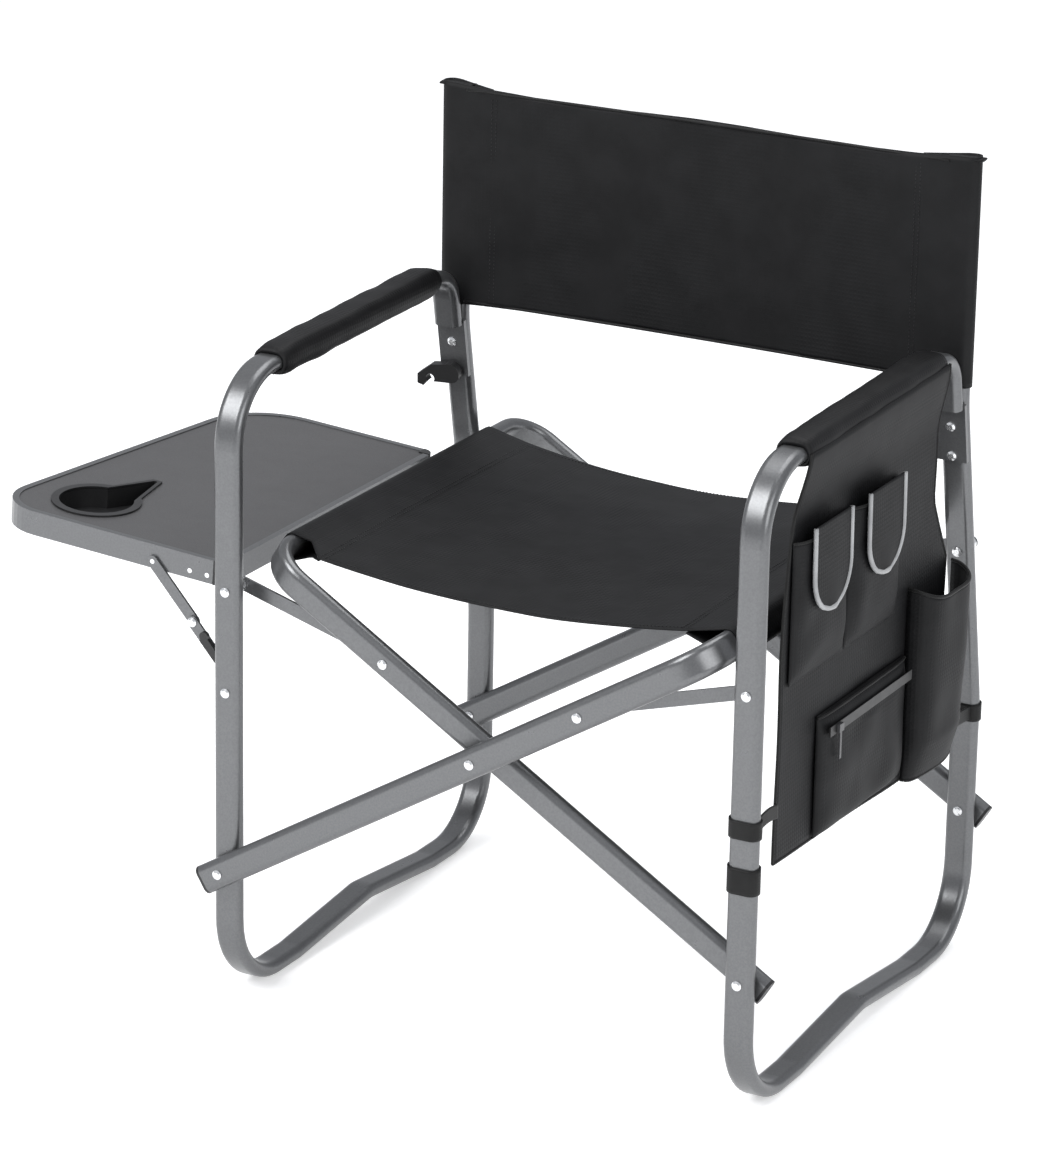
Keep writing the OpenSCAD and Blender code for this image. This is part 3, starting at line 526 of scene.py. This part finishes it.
def backrest():
    profile, front, seam, bow = back_profile()
    ring = spread(profile, ROUND_STEPS)
    z0, z1 = BACK_LO[2], BACK_HI[2]

    def surface(u, v):
        p = ring[round(u * ROUND_STEPS)].copy()
        across = min(abs(p.x - MID_X) / HALF, 1.0)
        top = z1 - 3.5 * MM * (1 - across ** 6) - 2 * MM * math.sin(math.pi * across) ** 2
        low = z0 + 4 * MM * (1 - across ** 8)
        p.z = low + (top - low) * v
        middle = 1 - across * across
        p.y += ripple(Vector((p.x, 0.3, p.z)), 3.5 * MM, 5) * middle
        p.y += ripple(Vector((p.x * 3, 1.3, p.z)), 1.2 * MM, 9) * min(1, 3 * middle)
        return p

    obj = thick_sheet("back_fabric", surface, ROUND_STEPS, 40, FABRIC_THICK, FABRIC)
    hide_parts("backrest_sling")
    trims = []
    for side in (-1, 1):
        for k in (0, 1):
            x = side * (seam - k * 5 * MM)
            y = front + bow * (1 - (abs(x) / seam) ** 2) - 1.0 * MM
            line = [Vector((MID_X + x, y, z0 + 8 * MM + (z1 - z0 - 18 * MM) * i / 20)) for i in range(21)]
            trims.append(stitches(f"back_stitch_{'l' if side < 0 else 'r'}{k}", line, STITCH_STEP, STITCH))
        over = [Vector((MID_X + side * (HALF - 17 * MM) + side * 36 * MM * i / 8, POST_Y, z1 - 3.2 * MM))
                for i in range(9)]
        cap = cord_along(f"back_top_{'l' if side < 0 else 'r'}", over, 8.2 * MM, FABRIC, 0.22)
        trims.append(cap)
    for name, v in (("top", z1), ("low", z0)):
        inside = -6 * MM if name == "top" else 5 * MM
        line = [Vector((MID_X + x * MM, front + bow * (1 - (x * MM / HALF) ** 2) - 1.4 * MM,
                        v + inside)) for x in range(-270, 271, 15)]
        trims.append(cord_along(f"back_binding_{name}", line, 1.6 * MM, WEBBING))
    for piece in [obj] + trims:
        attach(piece, "left_frame")
        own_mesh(piece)


# ---------- arm padding ----------
def arm_padding(name, node, body, x):
    """Padded sleeve round an arm: puffed in the middle, drawn in at both ends, with a seam below."""
    lo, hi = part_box(node)
    slope = (hi[2] - lo[2] - 2 * PAD_FOOT) / (hi[1] - lo[1])
    count, sides = 48, 40
    verts, faces = [], []
    for inner in (False, True):
        for i in range(count + 1):
            v = i / count
            end = min(v, 1 - v)
            puff = 1 - 0.45 * math.exp(-end * 40) if not inner else 0
            y = lo[1] + (hi[1] - lo[1]) * v
            z = lo[2] + PAD_FOOT + slope * (y - lo[1])
            for k in range(sides):
                a = 2 * math.pi * k / sides
                c, s = math.cos(a), math.sin(a)
                wide = 7.5 * MM * (1 if c > 0 else -1) if abs(c) > 1e-6 else 0
                grow_x = (3.4 * puff + 0.5) * MM
                grow_z = (7.5 * puff + 0.5) * MM
                r = TUBE_THIN / 2
                px = wide * min(1, abs(c) * 3) + (r + grow_x) * c
                pz = (r + grow_z) * s
                p = Vector((x + px, y, z + pz))
                if not inner:
                    p += Vector((c * 0.5, 0, s)) * ripple(p, 1.4 * MM, 30)
                    p += Vector((c * 0.5, 0, s)) * (0.5 * MM * math.sin(v * 70 + 3 * math.sin(a * 2))
                                                   * math.exp(-end * 9))
                verts.append(p)
    ring = count * sides + sides
    for part in (0, 1):
        for i in range(count):
            for k in range(sides):
                a = part * ring + i * sides + k
                b = part * ring + i * sides + (k + 1) % sides
                quad = (a, b, b + sides, a + sides)
                faces.append(quad if part == 1 else quad[::-1])
    for i, flip in ((0, False), (count, True)):
        for k in range(sides):
            a, b = i * sides + k, i * sides + (k + 1) % sides
            quad = (a, b, ring + b, ring + a)
            faces.append(quad[::-1] if flip else quad)
    obj = mesh_piece(name, verts, faces, PAD_CLOTH)
    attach(obj, body)
    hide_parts(node)
    seam_foot = lo[2] + PAD_FOOT - 15.4 * MM + slope * 8 * MM
    seam = [Vector((x, lo[1] + 8 * MM + (hi[1] - lo[1] - 16 * MM) * i / 30,
                    seam_foot + slope * (hi[1] - lo[1]) * i / 30)) for i in range(31)]
    thread = stitches(name + "_seam", seam, STITCH_STEP, STITCH)
    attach(thread, body)
    return obj


# ---------- organizer ----------
def organizer():
    lo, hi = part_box("organizer_panel")
    low_front = lo[1]
    arm_lo, arm_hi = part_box("right_arm_sleeve")
    rise = (arm_hi[2] - arm_lo[2] - 2 * PAD_FOOT) / (arm_hi[1] - arm_lo[1])

    def rear_edge(v):
        """The panel's rear edge (y) at the height share v: full depth low down, cut back at the top."""
        if v < 0.5:
            return hi[1] - 10 * MM * (1 - v * 2)
        return hi[1] - (hi[1] - at(0, 396, 0).y) * min(1, (v - 0.5) / 0.16)

    def panel(u, v):
        z0 = lo[2] + 12 * MM * (1 - u)
        front = low_front + 30 * MM * max(0, (v - 0.5) / 0.5) ** 1.3
        y = front + (min(rear_edge(v), arm_hi[1] + 30 * MM * (1 - v) * 4 + 2 * MM) - front) * u if v > 0.5 \
            else front + (rear_edge(v) - front) * u
        over = arm_lo[2] + 15 * MM + rise * (y - arm_lo[1])
        z = z0 + (over - z0) * v
        x = (lo[0] + hi[0]) / 2 + ripple(Vector((0.2, y, z)), 2.5 * MM, 9) * (1 - v) ** 0.5
        y += 3 * MM * math.sin(5 * v) * (1 - u) * (1 - v)
        lift = min(max((z - over + 75 * MM) / (75 * MM), 0), 1)
        x += (RIGHT_X + 18.8 * MM - x) * lift * lift * (3 - 2 * lift)
        return Vector((x, y, z))

    back = thick_sheet("organizer_cloth", panel, 60, 60, 1.8 * MM, FABRIC)
    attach(back, "right_frame")
    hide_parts("organizer_panel")
    edge = [panel(0, i / 40) for i in range(41)]
    bottom = [panel(i / 30, 0) for i in range(31)]
    rear = [panel(1, i / 40) for i in range(41)]
    trims = [cord_along("panel_edge_front", edge, 1.7 * MM, WEBBING),
             cord_along("panel_edge_low", bottom, 1.7 * MM, WEBBING),
             cord_along("panel_edge_rear", rear, 1.7 * MM, WEBBING)]

    # Two upper pockets, side by side, each a shell of its own
    plo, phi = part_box("upper_pockets")
    middle = (plo[1] + phi[1]) / 2
    fronts = []
    for i, (y0, y1) in enumerate(((plo[1], middle - 1 * MM), (middle + 1 * MM, phi[1]))):
        def upper(u, v, y0=y0, y1=y1):
            y = y0 + (y1 - y0) * u
            z = plo[2] + (phi[2] - plo[2]) * v
            a = max(0, 1 - abs(2 * u - 1) ** 5)
            b = 1 - max(0, 1 - 2.4 * v) ** 4
            x = plo[0] + 1 * MM + (phi[0] - plo[0] - 2 * MM) * a * b * (0.75 + 0.2 * v)
            x += ripple(Vector((y, 0.4 + i, z)), 5 * MM, 22) * a * b * (1 - v * 0.7)
            return Vector((x, y, z))
        piece = thick_sheet(f"upper_pocket_{i}", upper, 36, 36, 1.3 * MM, FABRIC)
        fronts.append(piece)
        rim = [upper(k / 30, 1) + Vector((0.4 * MM, 0, 0)) for k in range(31)]
        trims.append(cord_along(f"upper_pocket_hem_{i}", rim, 1.6 * MM, WEBBING))
    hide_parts("upper_pockets")

    # Zip pocket
    zlo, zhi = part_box("zip_pocket")

    def zipped(u, v):
        y = zlo[1] + (zhi[1] - zlo[1]) * u
        z = zlo[2] + (zhi[2] - zlo[2]) * v
        a = max(0, 1 - abs(2 * u - 1) ** 6) * max(0, 1 - abs(2 * v - 1) ** 6)
        x = zlo[0] + 0.6 * MM + (zhi[0] - zlo[0] - 1.0 * MM) * a ** 0.6
        return Vector((x + ripple(Vector((y, 0.9, z)), 5 * MM, 20) * a * (1 if v < 0.8 else 0.1), y, z))

    fronts.append(thick_sheet("zip_pocket_cloth", zipped, 48, 36, 1.2 * MM, FABRIC))
    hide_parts("zip_pocket")
    fringe = [zipped(i / 40, 0.985) + Vector((1.2 * MM, 0, 0)) for i in range(41)]
    trims.append(cord_along("zip_pocket_hem", fringe, 1.5 * MM, WEBBING))

    # Bottle pocket: a deep shell, open at the top
    blo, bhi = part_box("bottle_pocket")

    def bottle(u, v):
        a = math.pi * u
        flat = abs(math.cos(a)) ** 0.6 * (1 if math.cos(a) > 0 else -1)
        full = 0.82 + 0.18 * v
        y = (blo[1] + bhi[1]) / 2 - (bhi[1] - blo[1]) / 2 * flat
        deep = (bhi[0] - blo[0] - 2 * MM) * full * (0.55 + 0.45 * min(1, v * 5))
        x = blo[0] + 1 * MM + deep * math.sin(a) ** 0.55
        z = blo[2] + (bhi[2] - blo[2]) * v - 12 * MM * v * math.sin(a) * (1 - 0.3 * math.cos(a))
        x += ripple(Vector((y, 0.1, z)), 6 * MM, 15) * math.sin(a) * (1 - v * 0.6)
        return Vector((min(x, bhi[0]), y, z))

    fronts.append(thick_sheet("bottle_pocket_cloth", bottle, 60, 44, 1.4 * MM, FABRIC))
    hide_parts("bottle_pocket")
    floor_line = [bottle(i / 40, 0) for i in range(41)]
    mouth = [bottle(i / 40, 1) for i in range(41)]
    trims.append(cord_along("bottle_pocket_hem", mouth, 1.9 * MM, WEBBING))
    trims.append(cord_along("bottle_pocket_base", floor_line, 1.6 * MM, WEBBING))
    for piece in fronts + trims:
        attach(piece, "right_frame")


def flap(name, node, body):
    """Tongue-shaped pocket flap, bound all round its free edge in grey tape."""
    lo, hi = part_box(node)
    mid = (lo[1] + hi[1]) / 2
    r = (hi[1] - lo[1]) / 2 - 2 * MM
    straight = hi[2] - lo[2] - r - 3 * MM

    def outline(a):
        """Half width and height at the share a down the flap."""
        z = hi[2] - (hi[2] - lo[2] - 3 * MM) * a
        below = max(0, (hi[2] - straight) - z)
        return math.sqrt(max(r * r - below * below, 0)), z

    def face(u, v):
        half, z = outline(1 - v)
        y = mid + half * (2 * u - 1)
        x = (lo[0] + hi[0]) / 2 + 2.2 * MM * math.sin(math.pi * u) * (1 - v) - 1.0 * MM * v
        return Vector((x, y, z))

    obj = thick_sheet(name, face, 24, 30, 1.6 * MM, FABRIC)
    edge = [face(0, 1 - i / 30) for i in range(29)] + [face(i / 16, 0.012) for i in range(1, 16)]
    edge += [face(1, i / 30) for i in range(2, 31)]
    for p in edge:
        p.x += 0.6 * MM
    edge = spread(edge, 70)
    tape = cord_along(name + "_binding", edge, 2.6 * MM, BINDING, 0.9)
    for piece in (obj, tape):
        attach(piece, body)
    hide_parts(node)


# ---------- straps ----------
def leg_strap(name, node, body, loop_y, material):
    """Webbing loop round a leg, and its tail to the organizer."""
    lo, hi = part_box(node)
    z0, z1 = lo[2], hi[2]
    center = (RIGHT_X, at(0, loop_y, 0).y)
    ring = wrapped(center, (1, 0), 1.2 * MM, 0.3, 0.3 + 2 * math.pi, 60)

    def loop(u, v):
        x, y = ring[round(u * 60)]
        return Vector((x, y, z0 + (z1 - z0) * v + 0.8 * MM * math.sin(6.28 * u)))

    pieces = [thick_sheet(name + "_loop", loop, 60, 8, 1.5 * MM, material)]
    if node != "leg_band":
        toward = 1 if loop_y == 0 else -1
        far = hi[1] - 2 * MM if toward > 0 else lo[1] + 2 * MM
        begin = center[1] + toward * (TUBE_THIN / 2 + 1.5 * MM)

        def tail(u, v):
            y = begin + (far - begin) * u
            z = z0 + (z1 - z0) * (0.1 + 0.8 * v) + 3 * MM * math.sin(3 * u)
            return Vector((RIGHT_X + 8.6 * MM, y, z))

        pieces.append(thick_sheet(name + "_tail", tail, 20, 8, 1.3 * MM, material))
    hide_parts(node)
    for piece in pieces:
        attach(piece, body)


seat()
backrest()
arm_padding("left_arm_padding", "left_arm_pad", "left_frame", LEFT_X)
arm_padding("right_arm_padding", "right_arm_sleeve", "right_frame", RIGHT_X)
organizer()
flap("front_flap_cloth", "front_flap", "flap_front")
flap("rear_flap_cloth", "rear_flap", "flap_rear")
leg_strap("front_tie", "front_strap", "right_frame", 0, WEBBING)
leg_strap("rear_tie", "rear_strap", "right_frame", 520, WEBBING)
leg_strap("leg_wrap", "leg_band", "right_frame", 0, WEBBING)
